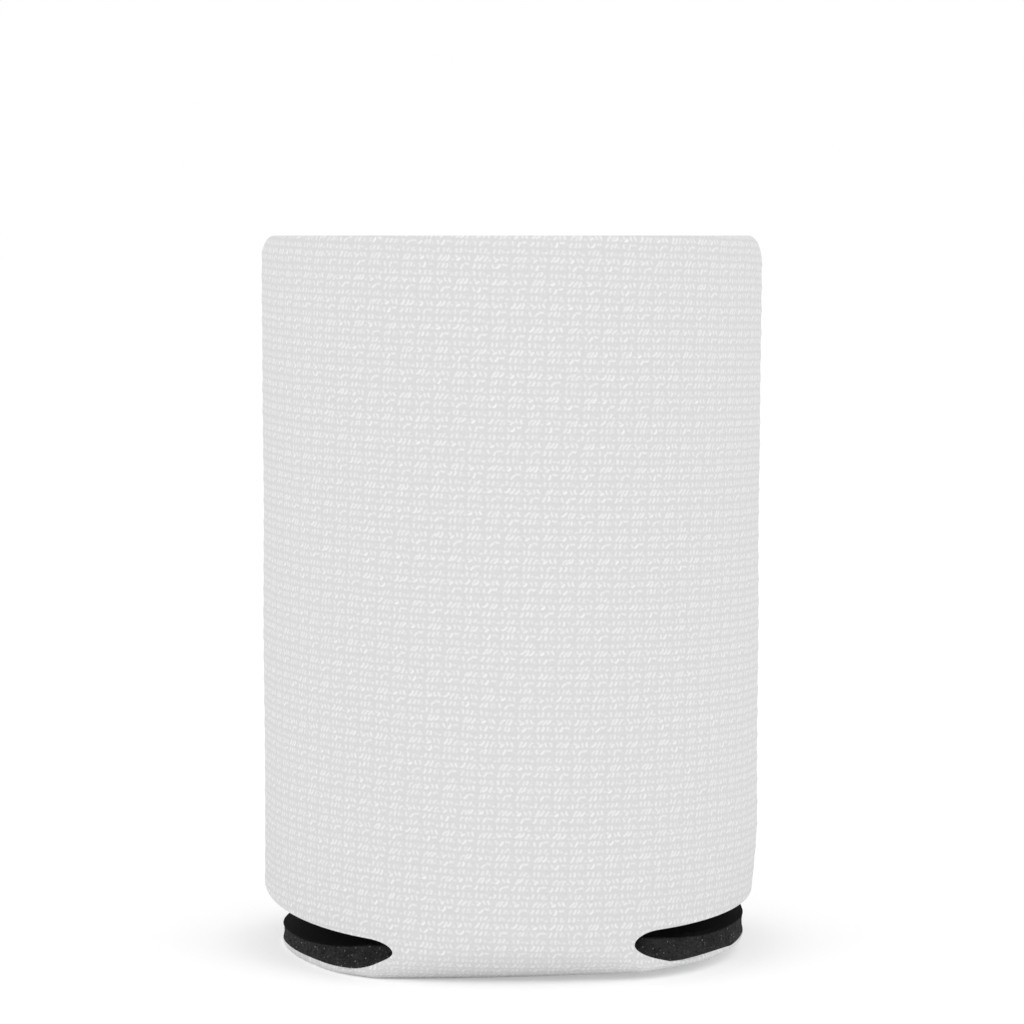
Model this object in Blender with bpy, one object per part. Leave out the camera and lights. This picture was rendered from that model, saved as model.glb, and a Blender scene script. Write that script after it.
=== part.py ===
"""A can cooler sleeve: white knit fabric on black foam, cut flat, folded under its base
and sewn up both sides. Metres, +Z up, front towards -Y, origin at the centre of the underside.

The laminate is one die-cut blank: a front panel, a round base and a back panel, joined by two
narrow necks. The panels fold up at the necks and close to a tube. Beside each neck the blank is
cut away, which leaves a long slot between the base and the wall, out to the side seam and beyond.
"""

from math import acos, cos, pi, radians, sin, sqrt

import bmesh
import bpy

# The space inside the foam, and the sleeve's height
inner_radius = 0.0331
sleeve_height = 0.1016

# The laminate, fabric outside and foam inside
fabric_thickness = 0.0004
wall_foam = 0.0017
base_foam = 0.0027
contact_gap = 0.0003
least_foam = 0.0004

# The fold from the base up into each panel
fold_radius = 0.0069
neck_half_angle = radians(28)

# The slot beside each neck: its tip, the wall's edge above it and the base's edge below it
slot_tip_height = 0.0042
wall_edge_at_neck = 0.0057
wall_edge_at_seam = 0.0083
wall_edge_bow = 1.5
wall_nose_angle = radians(7)
base_radius = 0.0334
base_nose_angle = radians(16)
base_curl_angle = radians(21)

# The wall leans in above the slot, most of all at the seams
lean_in = 0.0014
lean_height = 0.009
lean_angle = radians(50)

# The rim's outer corner is pressed round, and more so near the seams
rim_press = 0.0006
rim_press_height = 0.0014
rim_press_at_seam = 0.0013
rim_press_height_at_seam = 0.0034
rim_press_angle = radians(40)

# The side seams: butted edges in a shallow valley, held by zigzag stitches
seam_slit = 0.0003
valley_depth = 0.0009
valley_half_width = 0.0042
thread_radius = 0.0002
stitch_half_width = 0.0018
stitch_advance = 0.0016
stitch_margin = 0.0024

# How finely the sheet is divided
neck_columns = 4
slot_columns = 12
rim_rows = 4
straight_rows = 3
lean_rows = 4
curl_rows = 5
base_rows = 2
weld_distance = 0.000001
smooth_angle = radians(30)

# Depths below the outer face, on the wall and under the base
foam_front = fabric_thickness + contact_gap
wall_depth = foam_front + wall_foam
base_depth = foam_front + base_foam

# Places along the profile are runs: 0 at the top of the fold, less than 0 up the wall
quarter = pi / 2
outer_radius = inner_radius + wall_depth
flat_radius = outer_radius - fold_radius
fold_length = fold_radius * quarter
rim_run = fold_radius - sleeve_height
centre_run = fold_length + flat_radius
base_edge_run = centre_run - base_radius


def eased(share):
    """A smooth step from 0 to 1."""
    share = min(max(share, 0), 1)
    return share * share * (3 - 2 * share)


def nose(share):
    """A quarter of an ellipse, from 0 to 1: the round end of the slot."""
    return sqrt(1 - (1 - min(max(share, 0), 1)) ** 2)


def between(low, high, share):
    return low + (high - low) * share


def run_at(height):
    """The run of a place on the wall or the fold at this height."""
    if height > fold_radius:
        return fold_radius - height
    return fold_radius * (quarter - acos(1 - height / fold_radius))


tip_run = run_at(slot_tip_height)


def wall_edge_run(aside):
    """Where the wall ends, at this angle aside from the panel's middle."""
    past = aside - neck_half_angle
    rise = nose(past / wall_nose_angle) * (wall_edge_at_neck - slot_tip_height)
    toward_seam = max(past, 0) / (quarter - neck_half_angle)
    bow = (wall_edge_at_seam - wall_edge_at_neck) * toward_seam**wall_edge_bow
    return run_at(slot_tip_height + rise + bow)


def base_cut_run(aside):
    """Where the base ends, at this angle aside from the panel's middle."""
    past = aside - neck_half_angle
    return between(tip_run, base_edge_run, nose(past / base_nose_angle))


def lean_at(aside, height):
    """How far the wall leans in above the slot."""
    edge = fold_radius - wall_edge_run(aside)
    above = 1 - (height - edge) / lean_height
    toward_seam = eased(1 - (quarter - aside) / lean_angle)
    return lean_in * toward_seam * max(above, 0) ** 2


def press_at(aside, height):
    """How far the outer face is pressed in, at the rim and along the seam's valley."""
    toward_seam = eased(1 - (quarter - aside) / rim_press_angle)
    tall = between(rim_press_height, rim_press_height_at_seam, toward_seam)
    deep = between(rim_press, rim_press_at_seam, toward_seam)
    at_rim = 1 - nose((sleeve_height - height) / tall)
    from_seam = outer_radius * (quarter - aside) / valley_half_width
    at_seam = max(1 - from_seam, 0) ** 2
    return min(deep * at_rim + valley_depth * at_seam, wall_foam - least_foam)


def folded(middle, offset, run, depths, pressed=True):
    """The place of a point of the blank, at these depths below its outer face, once folded.

    The middle is the angle of its panel's middle, and the offset how far round from there it is.
    """
    wall_deep, base_deep = depths
    aside = abs(offset)
    on_base = run > (wall_edge_run(aside) + base_cut_run(aside)) / 2
    curl = 1 - eased((aside - neck_half_angle) / base_curl_angle) if on_base else 1
    reach = fold_length - run
    if reach <= 0 or curl < weld_distance:
        return on_circle(middle + offset, flat_radius + reach, base_deep)
    bend = fold_radius / curl
    turned = min(reach / bend, quarter)
    upright = turned / quarter
    deep = between(base_deep, wall_deep, upright)
    radius = flat_radius + (bend - deep) * sin(turned)
    height = bend - (bend - deep) * cos(turned) + max(-run, 0)
    if not on_base:
        radius -= lean_at(aside, height)
    if pressed and run < 0:
        radius -= press_at(aside, height)
    parted = upright * seam_slit / 2 / (outer_radius * quarter)
    return on_circle(middle + offset * (1 - parted), radius, height)


def on_circle(angle, radius, height):
    return radius * sin(angle), -radius * cos(angle), height


def columns():
    """Angles across a panel, from its middle to a seam: even on the neck, then closer at both ends."""
    neck = [neck_half_angle * i / neck_columns for i in range(neck_columns)]
    steps = [(1 - cos(pi * i / slot_columns)) / 2 for i in range(slot_columns + 1)]
    side = neck + [between(neck_half_angle, quarter, step) for step in steps]
    return [-aside for aside in reversed(side[1:])] + side


def wall_runs(aside):
    """Runs down the wall from the rim to its lower edge."""
    tall = rim_press_height_at_seam
    rim = [rim_run + tall * (1 - cos(quarter * i / rim_rows)) for i in range(rim_rows)]
    top, low = rim_run + tall, fold_radius - wall_edge_at_seam - lean_height
    straight = [between(top, low, i / straight_rows) for i in range(straight_rows)]
    edge = wall_edge_run(aside)
    return rim + straight + [between(low, edge, i / lean_rows) for i in range(lean_rows + 1)]


def base_runs(aside):
    """Runs from the base's edge to its centre."""
    edge = base_cut_run(aside)
    curl = [between(edge, fold_length, i / curl_rows) for i in range(curl_rows)]
    flat = [between(fold_length, centre_run, i / base_rows) for i in range(base_rows + 1)]
    return curl + flat


def material(name, colour, roughness):
    made = bpy.data.materials.new(name)
    made.use_nodes = True
    shader = made.node_tree.nodes["Principled BSDF"]
    shader.inputs["Base Color"].default_value = (*colour, 1)
    shader.inputs["Roughness"].default_value = roughness
    shader.inputs["Metallic"].default_value = 0
    made.diffuse_color = (*colour, 1)
    return made


def sheet(name, front, back, finish, back_pressed=True):
    """One layer of the laminate: the blank folded at its front depths, then given its thickness."""
    bm = bmesh.new()
    middle_of = bm.verts.layers.float.new("middle")
    offset_of = bm.verts.layers.float.new("offset")
    run_of = bm.verts.layers.float.new("run")
    for middle in (0, pi):
        for runs_at in (wall_runs, base_runs):
            grid = []
            for offset in columns():
                line = []
                for run in runs_at(abs(offset)):
                    vert = bm.verts.new(folded(middle, offset, run, front))
                    vert[middle_of] = middle
                    vert[offset_of] = offset
                    vert[run_of] = run
                    line.append(vert)
                grid.append(line)
            for one, other in zip(grid, grid[1:]):
                for a, b, c, d in zip(one, other, other[1:], one[1:]):
                    bm.faces.new((a, b, c, d))
    bmesh.ops.remove_doubles(bm, verts=bm.verts, dist=weld_distance)
    thick = bmesh.ops.extrude_face_region(bm, geom=bm.faces[:])
    for vert in thick["geom"]:
        if isinstance(vert, bmesh.types.BMVert):
            place = vert[middle_of], vert[offset_of], vert[run_of]
            vert.co = folded(*place, back, back_pressed)
    bmesh.ops.recalc_face_normals(bm, faces=bm.faces)
    mesh = bpy.data.meshes.new(name)
    bm.to_mesh(mesh)
    bm.free()
    mesh.materials.append(finish)
    mesh.shade_smooth()
    mesh.set_sharp_from_angle(angle=smooth_angle)
    layer = bpy.data.objects.new(name, mesh)
    bpy.context.collection.objects.link(layer)
    return layer


def seam_thread(name, side, finish):
    """Zigzag stitches that cross the butted edges of one seam, from above the slot to the rim.

    The side is -1 for the left seam and 1 for the right one.
    """
    lifted = -(contact_gap + thread_radius)
    foot = wall_edge_at_seam + stitch_margin
    stitches = int((sleeve_height - stitch_margin - foot) / stitch_advance)
    sway = stitch_half_width / outer_radius
    curve = bpy.data.curves.new(name, "CURVE")
    curve.dimensions = "3D"
    curve.bevel_depth = thread_radius
    curve.bevel_resolution = 1
    curve.use_fill_caps = True
    spline = curve.splines.new("POLY")
    spline.points.add(stitches)
    for i, point in enumerate(spline.points):
        middle, turn = (pi, -side) if i % 2 else (0, side)
        run = fold_radius - foot - i * stitch_advance
        place = folded(middle, turn * (quarter - sway), run, (lifted, lifted))
        point.co = (*place, 1)
    curve.materials.append(finish)
    thread = bpy.data.objects.new(name, curve)
    bpy.context.collection.objects.link(thread)
    return thread


def build():
    for old in list(bpy.data.objects):
        bpy.data.objects.remove(old)
    white = material("white_knit", (0.75, 0.75, 0.75), 0.9)
    black = material("black_foam", (0.025, 0.025, 0.025), 0.95)
    cotton = material("white_thread", (0.8, 0.8, 0.8), 0.6)
    fabric_back = (fabric_thickness, fabric_thickness)
    sheet("fabric_face", (0, 0), fabric_back, white)
    sheet("foam_body", (foam_front, foam_front), (wall_depth, base_depth), black, False)
    seam_thread("left_seam_thread", -1, cotton)
    seam_thread("right_seam_thread", 1, cotton)


build()
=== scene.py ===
# %% [markdown]
# # A can cooler sleeve, from its cut sheet to its finish
# The real sleeve is one flat piece of laminate, white knit on black foam. It is cut to shape, folded
# under its base and sewn up both sides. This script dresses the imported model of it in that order: the
# camera and the light first, then the folded sheet, the knit, the foam and the stitching.

# %% Load the frame
from math import acos, cos, exp, hypot, pi, radians, sin, sqrt

import bpy
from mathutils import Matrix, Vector, noise


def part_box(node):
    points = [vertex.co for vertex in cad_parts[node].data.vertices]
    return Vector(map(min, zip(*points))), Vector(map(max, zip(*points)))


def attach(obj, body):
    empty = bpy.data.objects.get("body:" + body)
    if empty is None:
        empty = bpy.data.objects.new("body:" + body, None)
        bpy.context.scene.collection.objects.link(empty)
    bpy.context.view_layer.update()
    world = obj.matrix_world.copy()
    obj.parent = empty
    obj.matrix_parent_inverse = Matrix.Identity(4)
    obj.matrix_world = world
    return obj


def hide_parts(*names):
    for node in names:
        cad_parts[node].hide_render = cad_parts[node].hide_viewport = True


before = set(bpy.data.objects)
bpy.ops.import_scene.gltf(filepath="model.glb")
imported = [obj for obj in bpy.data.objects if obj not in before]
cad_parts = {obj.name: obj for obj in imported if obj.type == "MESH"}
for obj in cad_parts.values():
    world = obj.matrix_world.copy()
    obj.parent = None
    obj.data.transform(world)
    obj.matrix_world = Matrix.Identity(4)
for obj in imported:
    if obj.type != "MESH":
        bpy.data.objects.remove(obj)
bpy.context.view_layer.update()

bpy.ops.object.select_all(action="DESELECT")
print("nodes in the frame:", ", ".join(sorted(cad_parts)))

# %% [markdown]
# ## Sizes from the frame
# What the solids already hold is read from them, so that the dressed pieces sit where the solids are.
# The knit's solid gives the height and the outer radius. The foam's solid gives the two depths of the
# laminate: how far its inner face lies behind the knit on the wall, and how high the base's top is.

# %% Read the sleeve's sizes
skin_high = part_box("fabric_face")[1]
sleeve_height, outer_radius = skin_high[2], skin_high[1]
foam_points = [vertex.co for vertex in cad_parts["foam_body"].data.vertices]
upper = [point for point in foam_points if point.z > sleeve_height / 2]
wall_depth = outer_radius - min(hypot(point.x, point.y) for point in upper)
innermost = min(hypot(point.x, point.y) for point in foam_points)
reach_in = 1.01 * innermost
base_depth = max(point.z for point in foam_points if hypot(point.x, point.y) < reach_in)
print(f"height {sleeve_height * 1000:.1f} mm, radius {outer_radius * 1000:.1f} mm")
print(f"laminate {wall_depth * 1000:.2f} mm on the wall, {base_depth * 1000:.2f} mm in the base")

# %% [markdown]
# ## Camera
# The rim is a straight line in the picture, so the camera stands exactly at the rim's height. The slot
# and the base below still show their curve, which sets how near the camera is. It tips down a little,
# which centres the sleeve, and no shift is needed.

# %% Place the camera
camera_distance = 0.55
camera_tip = radians(4.115)
lens_mm = 135.1
camera_data = bpy.data.cameras.new("camera")
camera_data.lens = lens_mm
camera_data.sensor_width = 36
camera_data.clip_end = 50
camera = bpy.data.objects.new("camera", camera_data)
camera.location = (0, -camera_distance, sleeve_height)
camera.rotation_euler = (pi / 2 - camera_tip, 0, 0)
bpy.context.collection.objects.link(camera)
bpy.context.scene.camera = camera
print(f"camera {camera_distance} m away, tipped {camera_tip * 180 / pi:.1f} degrees down")

# %% [markdown]
# ## Light and floor
# A white sleeve shows best in light that comes from everywhere, as in a white tent, with a little more
# from large soft lamps so that its stitches keep some relief. A white world gives the even part. The
# low lamp in front reaches under the fold at the foot, and the two high ones model the sides.

# %% Light the stage
world_light = 0.935
lamp_side = 1.2
high_lamp_power = 2.8
high_lamp_aside = 1.5
high_lamp_before = 0.9
high_lamp_height = 1.2
low_lamp_power = 1.7
low_lamp_before = 1.7
low_lamp_height = 0.25


def soft_lamp(name, place, power):
    data = bpy.data.lights.new(name, "AREA")
    data.shape = "DISK"
    data.size = lamp_side
    data.energy = power
    lamp = bpy.data.objects.new(name, data)
    lamp.location = place
    aim = Vector((0, 0, sleeve_height / 2)) - lamp.location
    lamp.rotation_euler = aim.to_track_quat("-Z", "Y").to_euler()
    bpy.context.collection.objects.link(lamp)


soft_lamp("left_softbox", (-high_lamp_aside, -high_lamp_before, high_lamp_height), high_lamp_power)
soft_lamp("right_softbox", (high_lamp_aside, -high_lamp_before, high_lamp_height), high_lamp_power)
soft_lamp("low_softbox", (0, -low_lamp_before, low_lamp_height), low_lamp_power)
bpy.context.scene.view_settings.view_transform = "Standard"
print("three soft lamps,", lamp_side, "m across")

# %% [markdown]
# ## Helpers for the node graphs
# The world, the floor and each finish are node graphs. These short helpers add a node, set its plain
# values and link the rest, so that a graph reads from top to bottom like the sentence it stands for.

# %% Node helpers
number, arrow = "NodeSocketFloat", "NodeSocketVector"


def add_node(tree, kind, settings=None, **inputs):
    """Adds a node. A plain value is set on its socket, and another node's output is linked to it."""
    node = tree.nodes.new(kind)
    for key, value in (settings or {}).items():
        setattr(node, key, value)
    for key, value in inputs.items():
        by_number = key[1:].isdigit()
        socket = node.inputs[int(key[1:]) if by_number else key.replace("_", " ")]
        if isinstance(value, bpy.types.NodeSocket):
            tree.links.new(value, socket)
        else:
            socket.default_value = value
    return node


def maths(tree, operation, *values):
    """A Math node's output."""
    inputs = {f"_{index}": value for index, value in enumerate(values)}
    return add_node(tree, "ShaderNodeMath", {"operation": operation}, **inputs).outputs[0]


def vector_maths(tree, operation, *values):
    """A Vector Math node's output."""
    inputs = {f"_{index}": value for index, value in enumerate(values)}
    return add_node(tree, "ShaderNodeVectorMath", {"operation": operation}, **inputs).outputs[0]


def scaled(tree, vector, factor):
    """A vector or a colour times a number."""
    made = add_node(tree, "ShaderNodeVectorMath", {"operation": "SCALE"}, Vector=vector, Scale=factor)
    return made.outputs[0]


def smooth_range(tree, value, low, high):
    """A smooth step: 0 at low, 1 at high."""
    settings = {"interpolation_type": "SMOOTHSTEP"}
    made = add_node(tree, "ShaderNodeMapRange", settings, Value=value, From_Min=low, From_Max=high)
    return made.outputs["Result"]


def seen_directly(tree):
    """1 for a ray that the camera, a mirror or clear glass sends, and 0 for one that carries light."""
    ray = tree.nodes.new("ShaderNodeLightPath").outputs
    through = maths(tree, "MAXIMUM", ray["Is Glossy Ray"], ray["Is Transmission Ray"])
    return maths(tree, "MAXIMUM", ray["Is Camera Ray"], through)


def grey(value):
    return (value, value, value, 1)


# %% Fill the world with white
world = bpy.data.worlds.new("studio")
bpy.context.scene.world = world
world.use_nodes = True
sky = world.node_tree
sky.nodes.clear()
strength = maths(sky, "MULTIPLY_ADD", seen_directly(sky), 1 - world_light, world_light)
glow = add_node(sky, "ShaderNodeBackground", Color=grey(1), Strength=strength)
add_node(sky, "ShaderNodeOutputWorld", Surface=glow.outputs[0])
print("world strength", world_light, "and 1 where it is seen")

# %% [markdown]
# The floor is nearly white. Where it is seen, part of its white is its own, so that it runs into the
# background with no horizon, and the sleeve's soft shadow still shows on it. To everything else it is
# a plain white floor.

# %% Lay the floor
floor_side = 30
floor_white = 0.97
seen_glow = 0.42
seen_floor = 0.64

bpy.ops.mesh.primitive_plane_add(size=floor_side, location=(0, 0, 0))
floor = bpy.context.object
floor.name = "floor"
floor.select_set(False)
floor_paint = bpy.data.materials.new("floor_white")
floor_paint.use_nodes = True
tree = floor_paint.node_tree
tree.nodes.clear()
plain = add_node(tree, "ShaderNodeBsdfDiffuse", Color=grey(floor_white))
shaded = add_node(tree, "ShaderNodeBsdfDiffuse", Color=grey(seen_floor))
shine = add_node(tree, "ShaderNodeEmission", Color=grey(1), Strength=seen_glow)
seen = add_node(tree, "ShaderNodeAddShader", _0=shaded.outputs[0], _1=shine.outputs[0])
either = add_node(
    tree, "ShaderNodeMixShader", _0=seen_directly(tree), _1=plain.outputs[0], _2=seen.outputs[0]
)
add_node(tree, "ShaderNodeOutputMaterial", Surface=either.outputs[0])
floor.data.materials.append(floor_paint)
print("floor", floor_side, "m across")

# %% [markdown]
# ## How the sheet folds
# Think of the sheet as cut out flat. A point of it belongs to the front or the back panel, whose middle
# is at 0 or at half a turn. It has an offset, which is how far round from that middle it goes, and a
# run, which is how far down the profile it lies: less than 0 up the wall, 0 at the top of the fold, and
# more along the fold and across the base to its centre. Folding turns these and a depth below the
# knit's face into a place. The same rule places the knit, the foam and the thread, so they always fit.
# The sleeve in the picture isn't quite even, so some sizes are given left and right.

# %% Sizes of the fold and of the slots beside it
quarter = pi / 2
skin_depth = 0.00042
fold_line = 0.0288
fold_end = (radians(33), radians(31))
neck_half_angle = (radians(27.05), radians(28.35))
slot_tip = (0.0040, 0.0050)
wall_edge_at_neck = (0.00555, 0.00675)
wall_edge_at_seam = (0.0094, 0.0083)
wall_edge_bow = 1.55
wall_nose_angle = radians(6.5)
base_radius = (0.0330, 0.0331)
base_bulge = (0.0023, 0.0009)
base_bulge_angle = radians(50)
base_nose_angle = (radians(33), radians(76))
base_curl_angle = radians(60)
inner_bend = 0.0004

# %% Shape of the wall and the rim
lean_in = (0, 0.00085)
lean_height = 0.0105
lean_power = 1.4
lean_angle = radians(50)
rim_press = 0.0006
rim_press_height = 0.0014
rim_press_at_seam = (0.00185, 0.0020)
rim_press_height_at_seam = (0.0032, 0.0040)
rim_press_angle = radians(40)
rim_flare = (0.00008, 0.00030)
sway = -0.00014
unevenness = 0.00014
uneven_scale = 55
least_foam = 0.0004

# %% Shape of the seams
seam_slit = 0.00003
valley_depth = 0.0009
valley_half_width = 0.0042
corner_radius = 0.0016
stitch_half_width = 0.0018
stitch_advance = 0.0016
pucker_depth = 0.00012

# %% [markdown]
# The base isn't quite flat either. It rises towards the right. Beside the slots its lower corner is
# drawn up by the cut, and its foam swells near the neck and thins towards the seam.

# %% Shape of the base and its edge
base_rise = 0.152
base_rise_start = -0.017
base_rise_power = 1.5
edge_roll = (0.00080, 0.00140)
edge_roll_at_seam = (0.00055, -0.0022)
edge_roll_width = 0.00040
edge_roll_depth = 0.0022
edge_thin_at_seam = (0.0005, 0.0004)
edge_thin_width = 0.006
edge_swell = (0.0008, 0.0018)
edge_swell_angle = (radians(26), radians(32))
edge_swell_start = radians(4)
edge_grow_angle = radians(17)
weld_distance = 1e-6
least_curl = 1e-6


# %% Small helpers for shapes
def between(low, high, share):
    """The value at this share of the way from low to high."""
    return low + (high - low) * share


def eased(share):
    """A smooth step from 0 to 1."""
    share = min(max(share, 0), 1)
    return share * share * (3 - 2 * share)


def nose(share):
    """A quarter of an ellipse, from 0 to 1."""
    return sqrt(1 - (1 - min(max(share, 0), 1)) ** 2)


def sided(middle, offset, pair):
    """A size that goes from its left value to its right one across the neck."""
    return between(*pair, eased((sin(middle + offset) / sin(neck_half_angle[0]) + 1) / 2))


def past_neck(middle, offset):
    """The angle from the neck's edge on this side to a place beside it."""
    return abs(offset) - neck_half_angle[1 if sin(middle + offset) > 0 else 0]


# %% [markdown]
# A stiff sheet folds along a straight line, and the wall above it is round. So the fold at the foot is
# wide in the middle of a panel, where the line is farthest inside the wall, and tight at the slots.

# %% Bend of the fold
def bend_at(middle, offset):
    """Outer radius of the fold's profile, this far round from a panel's middle."""
    end = fold_end[1 if sin(middle + offset) > 0 else 0]
    return outer_radius - fold_line / cos(min(abs(offset), end))


def flat_at(middle, offset):
    """How far the flat of the base reaches from the centre."""
    return outer_radius - bend_at(middle, offset)


def fold_length(middle, offset):
    return bend_at(middle, offset) * quarter


def centre_run(middle, offset):
    return fold_length(middle, offset) + flat_at(middle, offset)


def run_at(middle, offset, height):
    """The run of a place on the wall or the fold at this height."""
    bend = bend_at(middle, offset)
    if height > bend:
        return bend - height
    return bend * (quarter - acos(1 - height / bend))


widest, tightest = bend_at(0, 0) * 1000, bend_at(0, quarter) * 1000
print(f"fold {widest:.1f} mm wide in the middle, {tightest:.1f} mm at the slots")


# %% Edges of the slot
def wall_edge(middle, offset):
    """The height at which the wall ends above the slot."""
    past = max(past_neck(middle, offset), 0)
    tip = sided(middle, offset, slot_tip)
    neck = sided(middle, offset, wall_edge_at_neck)
    toward_seam = past / (past + quarter - abs(offset))
    bow = (sided(middle, offset, wall_edge_at_seam) - neck) * toward_seam**wall_edge_bow
    return tip + nose(past / wall_nose_angle) * (neck - tip) + bow


def base_cut_run(middle, offset):
    """The run at which the base ends below the slot."""
    past = past_neck(middle, offset)
    tip = run_at(middle, offset, sided(middle, offset, slot_tip))
    bulge = sided(middle, offset, base_bulge) * (1 - eased(past / base_bulge_angle))
    edge = centre_run(middle, offset) - sided(middle, offset, base_radius) - bulge
    return between(tip, edge, nose(past / sided(middle, offset, base_nose_angle)))


def curl_at(middle, offset, run):
    """1 where the sheet bends up with the neck, 0 where the base lies flat."""
    edges = run_at(middle, offset, wall_edge(middle, offset)) + base_cut_run(middle, offset)
    return 1 - eased(past_neck(middle, offset) / base_curl_angle) if run > edges / 2 else 1


# %% [markdown]
# The wall leans in above the slot, the rim's outer corner is pressed round, and stitches draw the seams
# into a valley with a small pucker at each one. Foam is soft, so where the outer face is pressed in, the
# inner face keeps its place until the foam is nearly flat.

# %% Lean and press
def lean_at(middle, offset, height):
    """How far the wall leans in above the slot."""
    above = 1 - (height - wall_edge(middle, offset)) / lean_height
    toward_seam = eased(1 - (quarter - abs(offset)) / lean_angle)
    return sided(middle, offset, lean_in) * toward_seam * max(above, 0) ** lean_power


def press_at(middle, offset, height):
    """How far the outer face is pressed in, at the rim and along the seam's valley."""
    from_seam = outer_radius * (quarter - abs(offset))
    toward_seam = eased(1 - (quarter - abs(offset)) / rim_press_angle)
    tall = between(rim_press_height, sided(middle, offset, rim_press_height_at_seam), toward_seam)
    deep = between(rim_press, sided(middle, offset, rim_press_at_seam), toward_seam)
    below_rim = eased((sleeve_height - height) / tall)
    valley = valley_depth * max(1 - from_seam / valley_half_width, 0) ** 2
    at_stitch = exp(-(((from_seam - stitch_half_width) / stitch_half_width) ** 2))
    side = 1 if cos(middle) * offset > 0 else -1
    pucker = pucker_depth * at_stitch * side * cos(pi * height / stitch_advance)
    return deep * (1 - nose((sleeve_height - height) / tall)) + (valley + pucker) * below_rim


# %% Corners of the rim and edge of the base
def corner_drop(offset, height):
    """How far the rim's corner is rounded down at a seam."""
    from_seam = outer_radius * (quarter - abs(offset))
    short = max(corner_radius - from_seam, 0)
    drop = corner_radius - sqrt(max(corner_radius**2 - short**2, 0))
    return drop * eased((height - sleeve_height) / (4 * corner_radius) + 1)


def edge_at(middle, offset, run):
    """How far the base's lower corner is drawn up here by the cut, and how much thinner its foam is."""
    past = past_neck(middle, offset)
    toward_seam = eased(past / (past + quarter - abs(offset)))
    inward = max(run - base_cut_run(middle, offset), 0)
    rolls = sided(middle, offset, edge_roll), sided(middle, offset, edge_roll_at_seam)
    roll = max(between(*rolls, toward_seam**2), 0)
    roll *= (1 - nose(inward / edge_roll_width)) * eased(past / edge_grow_angle)
    thin = sided(middle, offset, edge_thin_at_seam) * toward_seam
    swell = sided(middle, offset, edge_swell) * eased(past / edge_swell_start)
    thin -= swell * (1 - eased(past / sided(middle, offset, edge_swell_angle)))
    return roll, thin * max(1 - inward / edge_thin_width, 0) ** 2


def on_circle(angle, radius, height):
    return Vector((radius * sin(angle), -radius * cos(angle), height))


# %% Fold one point of the sheet
def folded(middle, offset, run, depths, is_inside=False):
    """The place of a point of the cut sheet, at these depths below its face on the wall and base."""
    curl = curl_at(middle, offset, run)
    on_wall = run < run_at(middle, offset, wall_edge(middle, offset)) + weld_distance
    roll, thin = (0, 0) if on_wall else edge_at(middle, offset, run)
    roll *= max(1 - depths[1] / edge_roll_depth, 0)
    if depths[1] > skin_depth:
        depths = depths[0], depths[1] - thin
    reach = fold_length(middle, offset) - run
    bend = bend_at(middle, offset) / max(curl, least_curl)
    turned = min(max(reach, 0) / bend, quarter)
    upright = turned / quarter
    half_way = between(*depths, 0.5)
    full_bend = max(bend_at(middle, offset) - half_way, inner_bend)
    centre = between(flat_at(middle, offset), outer_radius - depths[0] - full_bend, curl)
    inner = max(bend - half_way, inner_bend)
    radius = centre + inner * sin(turned)
    height = depths[1] + inner - inner * cos(turned)
    if reach < 0:
        radius = min(flat_at(middle, offset) + reach, centre)
    if run < 0:
        height = max(height, bend_at(middle, offset) - run)
    if on_wall:
        radius -= lean_at(middle, offset, height)
    if run < 0:
        pressed = press_at(middle, offset, height)
        spare = wall_depth - skin_depth - least_foam
        radius -= max(pressed - spare, 0) if is_inside else pressed
        radius += sided(middle, offset, rim_flare) * eased(2 * height / sleeve_height - 1)
        height -= corner_drop(offset, height)
    parted = offset * (1 - upright * seam_slit / 2 / (outer_radius * quarter))
    place = on_circle(middle + parted, radius, height)
    rise = base_rise * max(place.x - base_rise_start, 0) ** base_rise_power
    place.z += (rise + roll) * (1 - upright)
    place.x += sway * upright
    outward = on_circle(middle + parted, 1, 0)
    return place + outward * (unevenness * upright * noise.noise(place * uneven_scale))


print("rim at the front:", folded(0, 0, run_at(0, 0, sleeve_height), (0, 0)))

# %% [markdown]
# ## Folding a whole layer
# A layer starts as four grids: a panel and half a base, for the front and again for the back. Each grid's
# points are spread over the flat cut, closer together at the slot's round end, at the seam and at the
# rim, then folded. The grids are joined, their shared points merged, and the whole sheet is extruded
# in edit mode to get its thickness. The flat cut also gives the knit its UV map, in metres.

# %% How finely a layer is divided
neck_columns = 14
slot_columns = 42
rim_rows = 9
lean_rows = 10
curl_rows = 16
curl_spacing = 1.5
flat_rows = 8
sheet_keys = ("middle", "offset", "run", "share")


def half_panel(neck):
    """Offsets from a panel's middle to a seam: even on the neck, then closer at both ends."""
    steps = [(1 - cos(pi * i / slot_columns)) / 2 for i in range(slot_columns + 1)]
    on_neck = [neck * i / neck_columns for i in range(neck_columns)]
    return on_neck + [between(neck, quarter, step) for step in steps]


def panel_offsets(middle):
    """Offsets across a whole panel. The back panel's left side is the sleeve's right one."""
    before, after = neck_half_angle if middle < quarter else reversed(neck_half_angle)
    return [-offset for offset in reversed(half_panel(before)[1:])] + half_panel(after)


# %% Where the rows lie
def wall_runs(middle, offset, straight_rows):
    """Runs down the wall from the rim to its lower edge."""
    pressed = max(rim_press_height_at_seam)
    top, low = sleeve_height - pressed, max(wall_edge_at_seam) + lean_height
    rim = [top + pressed * cos(quarter * i / rim_rows) for i in range(rim_rows)]
    straight = [between(top, low, i / straight_rows) for i in range(straight_rows)]
    edge = wall_edge(middle, offset)
    lean = [between(low, edge, i / lean_rows) for i in range(lean_rows + 1)]
    return [run_at(middle, offset, height) for height in rim + straight + lean]


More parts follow.
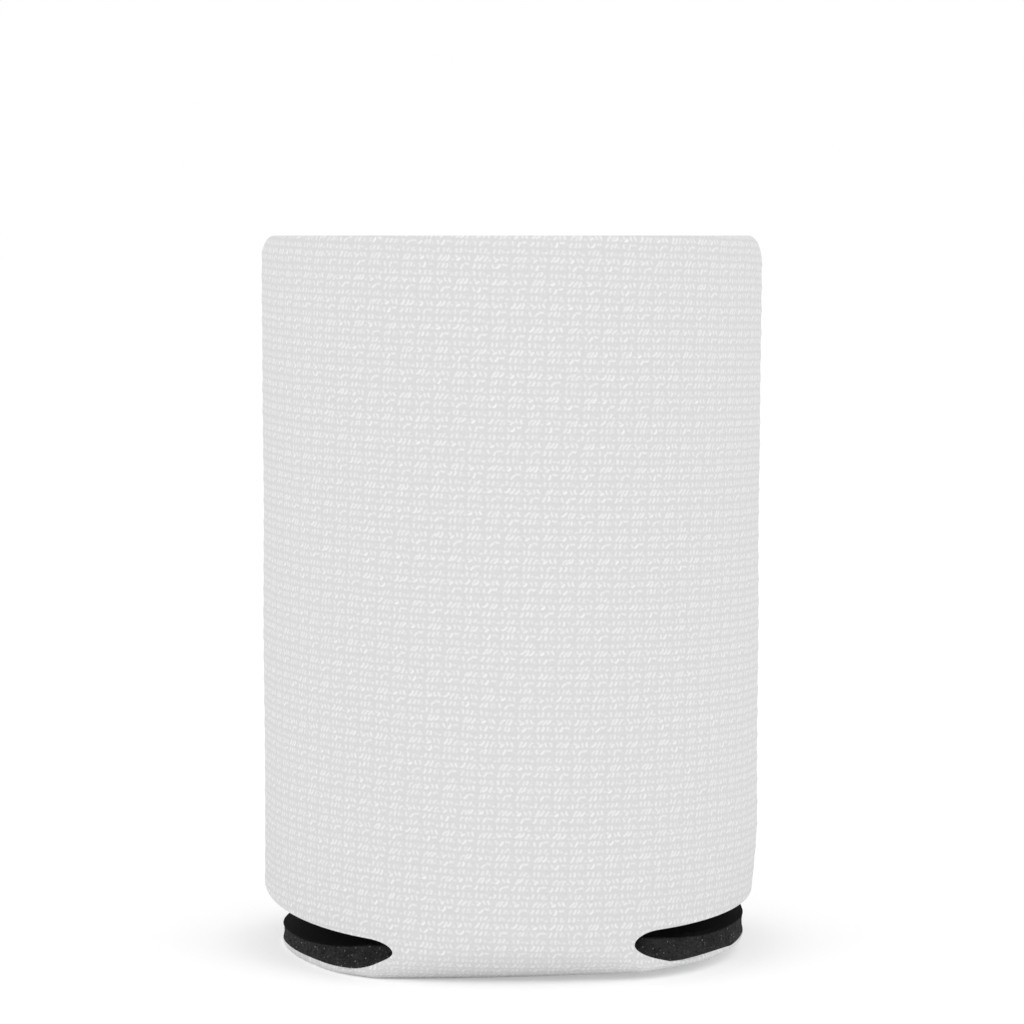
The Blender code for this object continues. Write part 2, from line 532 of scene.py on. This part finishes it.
def base_runs(middle, offset, _):
    """Runs from the base's edge to its centre."""
    edge, centre = base_cut_run(middle, offset), centre_run(middle, offset)
    flat_edge = max(edge, fold_length(middle, offset)) + edge_roll_width
    curl = [between(edge, flat_edge, (i / curl_rows) ** curl_spacing) for i in range(curl_rows)]
    return curl + [between(flat_edge, centre, i / flat_rows) for i in range(flat_rows + 1)]


# %% Fold one grid, and one layer
def set_mode(mode, select="DESELECT"):
    """Changes the mode, and selects all points or none when it is edit mode."""
    bpy.ops.object.mode_set(mode=mode)
    if mode == "EDIT":
        bpy.ops.mesh.select_mode(type="VERT")
        bpy.ops.mesh.select_all(action=select)


def folded_grid(middle, runs_at, straight_rows, front):
    """A grid whose columns go round a panel and whose rows follow the profile."""
    columns = panel_offsets(middle)
    lines = [runs_at(middle, offset, straight_rows) for offset in columns]
    across, along = len(lines) - 1, len(lines[0]) - 1
    bpy.ops.mesh.primitive_grid_add(x_subdivisions=across, y_subdivisions=along, size=2)
    grid = bpy.context.object
    for key in sheet_keys:
        grid.data.attributes.new(key, "FLOAT", "POINT")
    middles, offsets, runs, _ = (grid.data.attributes[key].data for key in sheet_keys)
    for index, vertex in enumerate(grid.data.vertices):
        column = round((vertex.co.x + 1) / 2 * across)
        row = round((1 - vertex.co.y) / 2 * along)
        offset, run = columns[column], lines[column][row]
        middles[index].value, offsets[index].value, runs[index].value = middle, offset, run
        vertex.co = folded(middle, offset, run, front)
    return grid


def folded_layer(name, straight_rows, front, back, back_is_inside):
    """A whole layer of the laminate: four grids joined, then extruded from its front to its back."""
    grids = [
        folded_grid(middle, runs_at, straight_rows, front)
        for middle in (0, pi)
        for runs_at in (wall_runs, base_runs)
    ]
    bpy.ops.object.select_all(action="DESELECT")
    for grid in grids:
        grid.select_set(True)
    bpy.context.view_layer.objects.active = grids[0]
    bpy.ops.object.join()
    layer = bpy.context.object
    layer.name = layer.data.name = name
    set_mode("EDIT", "SELECT")
    bpy.ops.mesh.remove_doubles(threshold=weld_distance)
    bpy.ops.mesh.extrude_region()
    set_mode("OBJECT")
    middles, offsets, runs, shares = (layer.data.attributes[key].data for key in sheet_keys)
    for index, vertex in enumerate(layer.data.vertices):
        if vertex.select:
            at = middles[index].value, offsets[index].value, runs[index].value
            vertex.co = folded(*at, back, back_is_inside)
            shares[index].value = 1
    set_mode("EDIT", "SELECT")
    bpy.ops.mesh.normals_make_consistent(inside=False)
    set_mode("OBJECT")
    print(name, len(layer.data.polygons), "faces")
    return layer


# %% [markdown]
# The UV map is the flat cut itself. On the wall it unrolls the angle, on the base it is the plain view
# from below, and round the fold it passes from one to the other. The back panel follows on from the
# base's far side, as it does on the real sheet.

# %% Lay the UV map out as the flat cut
def cut_place(middle, offset, run):
    """Where a point lies on the flat cut, in metres from the front panel's fold."""
    radius = centre_run(middle, offset) - run
    base = Vector((radius * sin(middle + offset), radius * cos(middle + offset) - centre_run(0, 0)))
    up = bend_at(middle, offset) - bend_at(0, 0) - run
    panel = Vector((outer_radius * offset, up))
    if middle > quarter:
        panel = Vector((-outer_radius * offset, -up - 2 * centre_run(0, 0)))
    upright = eased(1 - run / fold_length(middle, offset))
    return base.lerp(panel, upright * curl_at(middle, offset, run))


def map_flat_cut(layer):
    """Writes the flat cut into the layer's UV map."""
    uv = layer.data.uv_layers[0]
    uv.name = "flat_cut"
    middles, offsets, runs = (layer.data.attributes[key].data for key in sheet_keys[:3])
    places = [
        cut_place(middles[index].value, offsets[index].value, runs[index].value)
        for index in range(len(layer.data.vertices))
    ]
    for loop in layer.data.loops:
        uv.data[loop.index].uv = places[loop.vertex_index]
    print(layer.name, "laid out over", len(places), "points of the flat cut")


# %% [markdown]
# ## The knit face
# The outer face is a thin polyester knit. It is a true layer here, 0.4 mm thick, so its white edge shows
# under the base, along the slots and round the rim.

# %% Make the knit face
knit_rows = 104
knit_smooth_angle = radians(40)

knit = folded_layer("knit_face", knit_rows, (0, 0), (skin_depth, skin_depth), False)
map_flat_cut(knit)
bpy.ops.object.shade_smooth_by_angle(angle=knit_smooth_angle)

# %% [markdown]
# ## The foam
# The foam fills the rest of the thickness. A punch cut it, so its edges are square but not clean: they
# sink a little in the middle and the open cells leave them rough. The edge faces are subdivided through
# the thickness, and their new points are moved by a small noise.

# %% Make the foam body
edge_cuts = 6
edge_hollow = 0.00016
edge_rough = 0.00022
edge_rough_scale = 1500
finer_rough = 2.7
rough_from = 0.25
foam_rows = 46
foam_smooth_angle = radians(50)

foam_front, foam_back = (skin_depth, skin_depth), (wall_depth, base_depth)
foam = folded_layer("foam_core", foam_rows, foam_front, foam_back, True)
shares = foam.data.attributes["share"].data
for edge in foam.data.edges:
    ends = [shares[index].value for index in edge.vertices]
    edge.select = ends[0] != ends[1]
for item in list(foam.data.vertices) + list(foam.data.polygons):
    item.select = False
bpy.ops.object.mode_set(mode="EDIT")
bpy.ops.mesh.select_mode(type="EDGE")
bpy.ops.mesh.subdivide(number_cuts=edge_cuts)
set_mode("OBJECT")

# %% Roughen the foam's cut edges
shares = foam.data.attributes["share"].data
moves = {}
for index, vertex in enumerate(foam.data.vertices):
    share = shares[index].value
    if 0 < share < 1:
        place = vertex.co * edge_rough_scale
        torn = abs(noise.noise(place) + noise.noise(place * finer_rough))
        sunk = edge_rough * torn * min(share / rough_from, 1) + edge_hollow * 4 * share * (1 - share)
        moves[index] = -vertex.normal * sunk
for index, move in moves.items():
    foam.data.vertices[index].co += move
map_flat_cut(foam)
bpy.ops.object.shade_smooth_by_angle(angle=foam_smooth_angle)
print("rough points on the cut edges:", len(moves))

# %% [markdown]
# ## The side seams
# Each side seam holds its two butted edges with a zigzag of white thread. A real thread is two plies
# twisted together, which shows up close. Its path goes from hole to hole across the seam, dips into
# the fabric at each hole and spans the valley between them. Two thin tubes are wound round that path.

# %% Sizes of the stitching
stitch_margin = 0.0024
ply_radius = 0.00013
ply_twist = 0.0011
hole_dip = 0.00035
span_rise = 0.00022
steps_per_stitch = 12


def seam_place(seam_offset, across, height, rise):
    """A place beside a seam: across is metres round the wall, towards the back panel."""
    side = 1 if seam_offset > 0 else -1
    turn = quarter - abs(across) / outer_radius
    middle, offset = (pi, -side * turn) if across > 0 else (0, side * turn)
    return folded(middle, offset, run_at(middle, offset, height), (-rise, -rise))


# %% Lead the thread from hole to hole
def stitch_path(seam_offset):
    """The thread's places up a seam, from its foot to just below the rim."""
    foot = wall_edge_at_seam[seam_offset > 0] + stitch_margin
    stitches = int((sleeve_height - stitch_margin - foot) / stitch_advance)
    path = []
    for step in range(stitches * steps_per_stitch + 1):
        at = step / steps_per_stitch
        swing = at % 2 if at % 2 <= 1 else 2 - at % 2
        across = stitch_half_width * (2 * swing - 1)
        rise = between(-hole_dip, span_rise, nose(1 - abs(2 * swing - 1) ** 3))
        path.append(seam_place(seam_offset, across, foot + at * stitch_advance, rise))
    return path


def ply(curve, path, phase):
    """One ply: a smooth line wound round the path."""
    spline = curve.splines.new("POLY")
    spline.points.add(len(path) - 1)
    length = 0
    for index, place in enumerate(path):
        ahead = path[min(index + 1, len(path) - 1)] - path[max(index - 1, 0)]
        length += (place - path[max(index - 1, 0)]).length
        outward = Vector((place.x, place.y, 0)).normalized()
        sideways = ahead.cross(outward).normalized()
        turn = 2 * pi * length / ply_twist + phase
        wound = place + ply_radius * (cos(turn) * outward + sin(turn) * sideways)
        spline.points[index].co = (*wound, 1)


def seam_thread(name, seam_offset):
    """One seam's thread, as a mesh."""
    curve = bpy.data.curves.new(name, "CURVE")
    curve.dimensions = "3D"
    curve.bevel_depth = ply_radius
    curve.bevel_resolution = 2
    curve.use_fill_caps = True
    path = stitch_path(seam_offset)
    ply(curve, path, 0)
    ply(curve, path, pi)
    bpy.ops.object.select_all(action="DESELECT")
    thread = bpy.data.objects.new(name, curve)
    bpy.context.collection.objects.link(thread)
    thread.select_set(True)
    bpy.context.view_layer.objects.active = thread
    bpy.ops.object.convert(target="MESH")
    bpy.ops.object.shade_smooth()
    print(name, len(thread.data.polygons), "faces")
    return thread


# %% Sew both seams
left_thread = seam_thread("left_seam_stitches", -quarter)
right_thread = seam_thread("right_seam_stitches", quarter)

# %% [markdown]
# ## The stitch table
# Up close the knit isn't even. Filament yarn lies in short slanted floats and small loops, and the same
# 24 strokes come back all over the cloth: eight side by side in each of three rows. The light that the
# floats catch is painted into the knit's colour as pale strokes, a painted highlight over their relief.
# Each stroke has a slant, a length and a brightness, and a place in its cell. They are given here as a
# knitter's chart. Two colour ramps with flat steps carry the chart into the shader.

# %% Group helper
def new_group(name, inputs, outputs):
    """An empty node group with its named sockets, and the nodes that hold them."""
    tree = bpy.data.node_groups.new(name, "ShaderNodeTree")
    for key, (kind, value) in inputs.items():
        socket = tree.interface.new_socket(name=key, in_out="INPUT", socket_type=kind)
        if value is not None:
            socket.default_value = value
    for key, kind in outputs.items():
        tree.interface.new_socket(name=key, in_out="OUTPUT", socket_type=kind)
    return tree, tree.nodes.new("NodeGroupInput"), tree.nodes.new("NodeGroupOutput")


def use_group(tree, group, **inputs):
    """Places a node group in a graph and fills its inputs."""
    return add_node(tree, "ShaderNodeGroup", {"node_tree": group}, **inputs).outputs


# %% Chart of the knit's strokes
stitch_pitch = 0.636
row_pitch = 1.036
stitches_across = 8
# Each stroke: slant in degrees, length, brightness (of its painted highlight and its relief),
# then across and up in its cell, all in millimetres
loop_row = [
    (58, 0.42, 0.72, -0.02, -0.02), (65, 0.36, 0.80, 0.05, 0.02), (72, 0.32, 0.66, 0.03, 0.02),
    (80, 0.10, 0.35, -0.20, -0.10), (-72, 0.30, 0.66, -0.10, 0.02), (54, 0.46, 0.95, 0.05, -0.05),
    (-3, 0.36, 0.68, 0.16, 0.22), (0, 0.02, 0.10, 0.00, 0.00),
]
long_row = [
    (50, 0.62, 0.80, 0.26, 0.02), (52, 0.62, 0.72, 0.22, -0.02), (54, 0.55, 0.78, 0.20, -0.04),
    (0, 0.06, 0.50, 0.12, -0.22), (-40, 0.34, 0.52, 0.10, 0.14), (38, 0.34, 1.00, -0.30, -0.16),
    (-72, 0.30, 0.66, -0.20, 0.05), (-68, 0.34, 0.80, -0.22, 0.05),
]
short_row = [
    (78, 0.30, 0.72, 0.00, 0.02), (70, 0.36, 0.66, 0.04, 0.00), (58, 0.34, 0.72, 0.06, 0.02),
    (40, 0.08, 0.50, -0.16, -0.22), (84, 0.26, 0.72, 0.00, 0.00), (78, 0.30, 0.76, 0.02, -0.02),
    (-30, 0.14, 0.45, -0.04, 0.00), (20, 0.12, 0.66, -0.04, -0.16),
]
stitch_chart = loop_row + long_row + short_row
print(len(stitch_chart), "strokes repeat every", round(stitch_pitch * stitches_across, 2), "mm")


def chart_ramp(tree, colours):
    """A ramp with one flat step for each stroke of the chart."""
    node = tree.nodes.new("ShaderNodeValToRGB")
    ramp = node.color_ramp
    ramp.interpolation = "CONSTANT"
    while len(ramp.elements) < len(colours):
        ramp.elements.new(len(ramp.elements) / len(colours))
    for index, colour in enumerate(colours):
        ramp.elements[index].position = index / len(colours)
        ramp.elements[index].color = (*colour, 1)
    return node


# %% [markdown]
# The shader works in millimetres on the flat cut. It finds which row and which stitch a place belongs to,
# looks that stitch up in the chart, and measures how far the place is from the middle line of its
# stroke. Every third row starts the pattern again, shifted by half a repeat. A little luck for each
# stitch changes its slant, its place and its brightness, as in a real cloth.

# %% Find a place's stitch in the chart
def stroke_cell(tree, place, neighbour):
    """The place across its shifted row, the stitch and row that it belongs to, and their chart line."""
    row = maths(tree, "FLOOR", maths(tree, "DIVIDE", place["Y"], row_pitch))
    kind = maths(tree, "FLOORED_MODULO", row, 3)
    block = maths(tree, "FLOOR", maths(tree, "DIVIDE", row, 3))
    shift = maths(tree, "MULTIPLY", block, stitch_pitch * stitches_across / 2)
    across = maths(tree, "ADD", place["X"], shift)
    own_cell = maths(tree, "FLOOR", maths(tree, "DIVIDE", across, stitch_pitch))
    cell = maths(tree, "ADD", own_cell, neighbour)
    index = maths(tree, "FLOORED_MODULO", cell, stitches_across)
    line = maths(tree, "MULTIPLY_ADD", kind, stitches_across, maths(tree, "ADD", index, 0.5))
    return across, cell, row, maths(tree, "DIVIDE", line, len(stitch_chart))


def read_chart(tree, lookup):
    """Two colours from the chart: slant, length and brightness, then the place across and up."""
    looks = [(slant / 180 + 0.5, length, bright) for slant, length, bright, _, _ in stitch_chart]
    spots = [(aside + 0.5, up + 0.5, 0) for _, _, _, aside, up in stitch_chart]
    found = []
    for colours in (looks, spots):
        ramp = chart_ramp(tree, colours)
        tree.links.new(lookup, ramp.inputs["Fac"])
        found.append(add_node(tree, "ShaderNodeSeparateColor", Color=ramp.outputs["Color"]).outputs)
    return found


# %% Draw one stroke
stroke_radius = 0.142
stroke_softness = 0.148
stroke_stretch = 0.57
stroke_bow = 1.6
slant_variety = 0.50
place_variety = 0.14
brightness_variety = 0.40


def stroke_middle(tree, cell, pitch, charted, luck):
    """Where the middle of a stroke lies along one axis, in millimetres."""
    least = -0.5 - place_variety / 2
    start = maths(tree, "MULTIPLY_ADD", cell, pitch, pitch / 2 + least)
    return maths(tree, "MULTIPLY_ADD", luck, place_variety, maths(tree, "ADD", start, charted))


def stroke_shape(tree, from_middle, look, luck):
    """1 on the stroke and 0 beside it: a short, slightly bowed line, turned by its slant."""
    slant = maths(tree, "MULTIPLY_ADD", look["Red"], -pi, quarter - slant_variety / 2)
    slant = maths(tree, "MULTIPLY_ADD", luck["Blue"], slant_variety, slant)
    settings = {"rotation_type": "Z_AXIS"}
    turned = add_node(tree, "ShaderNodeVectorRotate", settings, Vector=from_middle, Angle=slant)
    along = add_node(tree, "ShaderNodeSeparateXYZ", Vector=turned.outputs[0]).outputs
    far = maths(tree, "ABSOLUTE", along["X"])
    half_length = maths(tree, "MULTIPLY", look["Green"], stroke_stretch)
    past_end = maths(tree, "MAXIMUM", maths(tree, "SUBTRACT", far, half_length), 0)
    bow = maths(tree, "MULTIPLY_ADD", luck["Red"], stroke_bow, -stroke_bow / 2)
    bowed = maths(tree, "MULTIPLY", bow, maths(tree, "POWER", far, 2))
    beside = maths(tree, "ADD", along["Y"], bowed)
    squared = maths(tree, "MULTIPLY_ADD", past_end, past_end, maths(tree, "MULTIPLY", beside, beside))
    distance = maths(tree, "SQRT", squared)
    return smooth_range(tree, distance, stroke_radius + stroke_softness, stroke_radius - stroke_softness)


def stroke_group():
    """How strongly one neighbouring stitch's stroke shows at a place given in millimetres."""
    tree, given, result = new_group(
        "knit_stroke_highlight", {"Place": (arrow, None), "Neighbour": (number, 0)}, {"Stroke": number}
    )
    place = add_node(tree, "ShaderNodeSeparateXYZ", Vector=given.outputs["Place"]).outputs
    across, cell, row, lookup = stroke_cell(tree, place, given.outputs["Neighbour"])
    look, spot = read_chart(tree, lookup)
    seed = add_node(tree, "ShaderNodeCombineXYZ", X=cell, Y=row).outputs[0]
    chance = add_node(tree, "ShaderNodeTexWhiteNoise", {"noise_dimensions": "2D"}, Vector=seed).outputs
    luck = add_node(tree, "ShaderNodeSeparateColor", Color=chance["Color"]).outputs
    middle_x = stroke_middle(tree, cell, stitch_pitch, spot["Red"], luck["Red"])
    middle_y = stroke_middle(tree, row, row_pitch, spot["Green"], luck["Green"])
    aside = maths(tree, "SUBTRACT", across, middle_x)
    above = maths(tree, "SUBTRACT", place["Y"], middle_y)
    from_middle = add_node(tree, "ShaderNodeCombineXYZ", X=aside, Y=above).outputs[0]
    shown = stroke_shape(tree, from_middle, look, luck)
    # The brightness sets the stroke's relief and its painted highlight in the knit's colour.
    dimmed = maths(tree, "MULTIPLY_ADD", chance["Value"], -brightness_variety, 1)
    bright = maths(tree, "MULTIPLY", look["Blue"], dimmed)
    tree.links.new(maths(tree, "MULTIPLY", shown, bright), result.inputs["Stroke"])
    return tree


# %% [markdown]
# A long stroke reaches into the next cell, so a place looks at its own stitch and at both neighbours
# and keeps the brightest. A slow noise moves the whole pattern a little, and a shallow groove parts
# the rows: it sinks the relief and darkens the knit's colour a little as painted shade.

# %% Put the whole knit together
row_groove = 0.16
groove_sink = 0.12
wobble_scale = 90
wobble_size = 0.30
mm_per_metre = 1000


def knit_group():
    """Strokes and grooves of the knit, from a place in metres on the flat cut."""
    tree, given, result = new_group(
        "knit_stitches", {"Place": (arrow, None)}, {"Stroke": number, "Groove": number, "Height": number}
    )
    stroke = stroke_group()
    flat_place, settings = given.outputs["Place"], {"noise_dimensions": "2D"}
    wobble = add_node(tree, "ShaderNodeTexNoise", settings, Vector=flat_place, Scale=wobble_scale)
    centred = vector_maths(tree, "SUBTRACT", wobble.outputs["Color"], (0.5, 0.5, 0.5))
    moved = scaled(tree, centred, wobble_size)
    place = vector_maths(tree, "ADD", scaled(tree, flat_place, mm_per_metre), moved)
    strongest = None
    for neighbour in (-1, 0, 1):
        found = use_group(tree, stroke, Neighbour=neighbour, Place=place)["Stroke"]
        strongest = maths(tree, "MAXIMUM", strongest, found) if strongest else found
    up = add_node(tree, "ShaderNodeSeparateXYZ", Vector=place).outputs["Y"]
    in_row = maths(tree, "FRACT", maths(tree, "DIVIDE", up, row_pitch))
    from_middle = maths(tree, "ABSOLUTE", maths(tree, "SUBTRACT", in_row, 0.5))
    groove = smooth_range(tree, maths(tree, "SUBTRACT", 0.5, from_middle), row_groove, 0)
    raised = maths(tree, "MULTIPLY_ADD", groove, -groove_sink, strongest)
    tree.links.new(strongest, result.inputs["Stroke"])
    tree.links.new(groove, result.inputs["Groove"])
    tree.links.new(raised, result.inputs["Height"])
    return tree


knit_stitches = knit_group()
print("knit group:", len(knit_stitches.nodes), "nodes")

# %% [markdown]
# ## Fine fibres
# Knit, thread and foam all carry a fine irregular grain: filaments on the first two, torn cell walls on
# the last. One group makes it for all three, at the scale that each of them asks for.

# %% Fibre group
def fibre_group():
    """An irregular grain of a given scale."""
    inputs = {"Place": (arrow, None), "Scale": (number, 4000), "Detail": (number, 3)}
    tree, given, result = new_group("fine_fibres", inputs, {"Grain": number})
    grain = add_node(
        tree, "ShaderNodeTexNoise",
        Vector=given.outputs["Place"], Scale=given.outputs["Scale"], Detail=given.outputs["Detail"],
    )
    tree.links.new(grain.outputs["Fac"], result.inputs["Grain"])
    return tree


fine_fibres = fibre_group()
print("fibre group:", len(fine_fibres.nodes), "nodes")


# %% Material helpers
def new_material(name):
    """A material, its graph and its shader."""
    material = bpy.data.materials.new(name)
    material.use_nodes = True
    return material, material.node_tree, material.node_tree.nodes["Principled BSDF"]


def mixed(tree, share, low, high):
    """A colour between two others."""
    node = add_node(tree, "ShaderNodeMix", {"data_type": "RGBA"}, _0=share, _6=low, _7=high)
    return node.outputs[2]


def finish_shader(tree, shader, colour, height, distance, strength, roughness, specular):
    """Gives the shader its colour, its fine relief and how it shines."""
    bump = add_node(tree, "ShaderNodeBump", Height=height, Distance=distance, Strength=strength)
    tree.links.new(colour, shader.inputs["Base Color"])
    tree.links.new(bump.outputs[0], shader.inputs["Normal"])
    shader.inputs["Roughness"].default_value = roughness
    shader.inputs["Specular IOR Level"].default_value = specular
    print("graph of", len(tree.nodes), "nodes, roughness", roughness)


# %% [markdown]
# ## White knit
# White polyester is matt and nearly white. Its ground is a light grey, painted a little darker in the
# grooves between rows as painted shade, and each stroke is painted close to white as a painted highlight
# for the light that the knit's floats catch. The rows lie at a small slope to the rim, as they do where a
# blank is cut a little off the cloth's grain. The pattern reads the flat cut, so it bends with the cloth
# at the fold.

# %% Mix the white knit
knit_base = 0.696
# The stroke colour is a painted highlight for the light that the knit's floats catch.
knit_stroke_highlight = 0.93
# The groove colour is painted shade in the grooves between rows.
knit_groove_shade = 0.690
knit_row_slope = radians(1.6)
knit_fibre_scale = 2600
knit_fibre_contrast = 0.16
knit_fibre_relief = 0.25
knit_relief = 0.00008
knit_relief_strength = 0.6
knit_roughness = 0.85
knit_specular = 0.2

white_knit, tree, shader = new_material("white_knit")
flat_cut = add_node(tree, "ShaderNodeUVMap", {"uv_map": "flat_cut"}).outputs[0]
sloped = add_node(tree, "ShaderNodeMapping", Vector=flat_cut, Rotation=(0, 0, knit_row_slope))
stitches = use_group(tree, knit_stitches, Place=sloped.outputs[0])
fibres = use_group(tree, fine_fibres, Place=flat_cut, Scale=knit_fibre_scale)["Grain"]
# Painted shade: the grooves between rows are a little darker.
ground_and_groove_shade = mixed(tree, stitches["Groove"], grey(knit_base), grey(knit_groove_shade))
# Painted highlight: the strokes are lightened towards white.
highlighted = mixed(tree, stitches["Stroke"], ground_and_groove_shade, grey(knit_stroke_highlight))
shade = maths(tree, "MULTIPLY_ADD", fibres, knit_fibre_contrast, 1 - knit_fibre_contrast / 2)
relief = maths(tree, "MULTIPLY_ADD", fibres, knit_fibre_relief, stitches["Height"])
finish_shader(
    tree, shader, scaled(tree, highlighted, shade), relief, knit_relief, knit_relief_strength,
    knit_roughness, knit_specular,
)

# %% [markdown]
# ## Black foam
# The foam's inner faces are painted almost black, as painted shade for the dark inside of the sleeve.
# Where the knife cut it, the open cells are torn and look a little greyer, and here and there a pale
# fleck is painted where a cell wall would catch the light, a painted glint. The share attribute tells
# the two apart: it runs from 0 at the knit to 1 inside.

# %% Mix the black foam
# The inside colour is painted shade for the sleeve's dark inside; the foam's own colour is on its cut
# faces.
foam_inside_shade = 0.001
foam_cut_dark = 0.010
foam_cut_light = 0.039
# The fleck colour is a painted glint, where a torn cell wall would catch the light.
foam_glint_fleck = 0.24
fleck_scale = 2000
fleck_size = 0.30
fleck_rarity = 0.35
torn_scale = 3600
torn_detail = 4
patch_scale = 500
patch_detail = 2
patch_share = 0.5
cut_below = 0.9
foam_relief = 0.00012
foam_relief_strength = 0.6
foam_roughness = 0.9
foam_specular = 0.12

black_foam, tree, shader = new_material("black_foam")
own_place = add_node(tree, "ShaderNodeTexCoord").outputs["Object"]
torn = use_group(tree, fine_fibres, Place=own_place, Scale=torn_scale, Detail=torn_detail)["Grain"]
patches = use_group(tree, fine_fibres, Place=own_place, Scale=patch_scale, Detail=patch_detail)["Grain"]
flecks = add_node(tree, "ShaderNodeTexVoronoi", Vector=own_place, Scale=fleck_scale).outputs
near_fleck = smooth_range(tree, flecks["Distance"], fleck_size, fleck_size / 3)
drawn = add_node(tree, "ShaderNodeSeparateColor", Color=flecks["Color"]).outputs["Red"]
glint_fleck = maths(tree, "MULTIPLY", near_fleck, smooth_range(tree, drawn, fleck_rarity, 1))
tone = maths(tree, "MULTIPLY_ADD", patches, patch_share, torn)
tone = smooth_range(tree, tone, patch_share, 2 * patch_share)
cut_colour = mixed(tree, tone, grey(foam_cut_dark), grey(foam_cut_light))
# Painted glints: pale flecks on the cut faces.
cut_colour = mixed(tree, glint_fleck, cut_colour, grey(foam_glint_fleck))
through = add_node(tree, "ShaderNodeAttribute", {"attribute_name": "share"}).outputs["Fac"]
is_cut = smooth_range(tree, through, 1, cut_below)
# The inner faces take the painted shade colour, the cut faces the foam's own grey.
foam_colour = mixed(tree, is_cut, grey(foam_inside_shade), cut_colour)
relief = maths(tree, "ADD", torn, glint_fleck)
finish_shader(
    tree, shader, foam_colour, relief, foam_relief, foam_relief_strength, foam_roughness, foam_specular
)

# %% [markdown]
# ## White thread
# Sewing thread is smoother than the knit and shines a little more. Its plies are real geometry, so the
# material only adds the filaments in them.

# %% Mix the white thread
thread_dark = 0.70
thread_light = 0.86
thread_fibre_scale = 7000
thread_relief = 0.00004
thread_relief_strength = 0.5
thread_roughness = 0.6
thread_specular = 0.35

white_thread, tree, shader = new_material("white_thread")
own_place = add_node(tree, "ShaderNodeTexCoord").outputs["Object"]
fibres = use_group(tree, fine_fibres, Place=own_place, Scale=thread_fibre_scale)["Grain"]
thread_colour = mixed(tree, fibres, grey(thread_dark), grey(thread_light))
finish_shader(
    tree, shader, thread_colour, fibres, thread_relief, thread_relief_strength,
    thread_roughness, thread_specular,
)

# %% Give each piece its finish and its place in the frame
def finish_piece(piece, material, slot, *nodes):
    """Puts a material on a piece and says which nodes of the frame the piece stands for."""
    piece.data.materials.clear()
    piece.data.materials.append(material)
    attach(piece, "root")
    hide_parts(*nodes)
    print(piece.name, "replaces", ", ".join(nodes))


finish_piece(knit, white_knit, "white_knit", "fabric_face")
finish_piece(foam, black_foam, "black_foam", "foam_body")
finish_piece(left_thread, white_thread, "white_thread", "left_seam_thread")
finish_piece(right_thread, white_thread, "white_thread", "right_seam_thread")
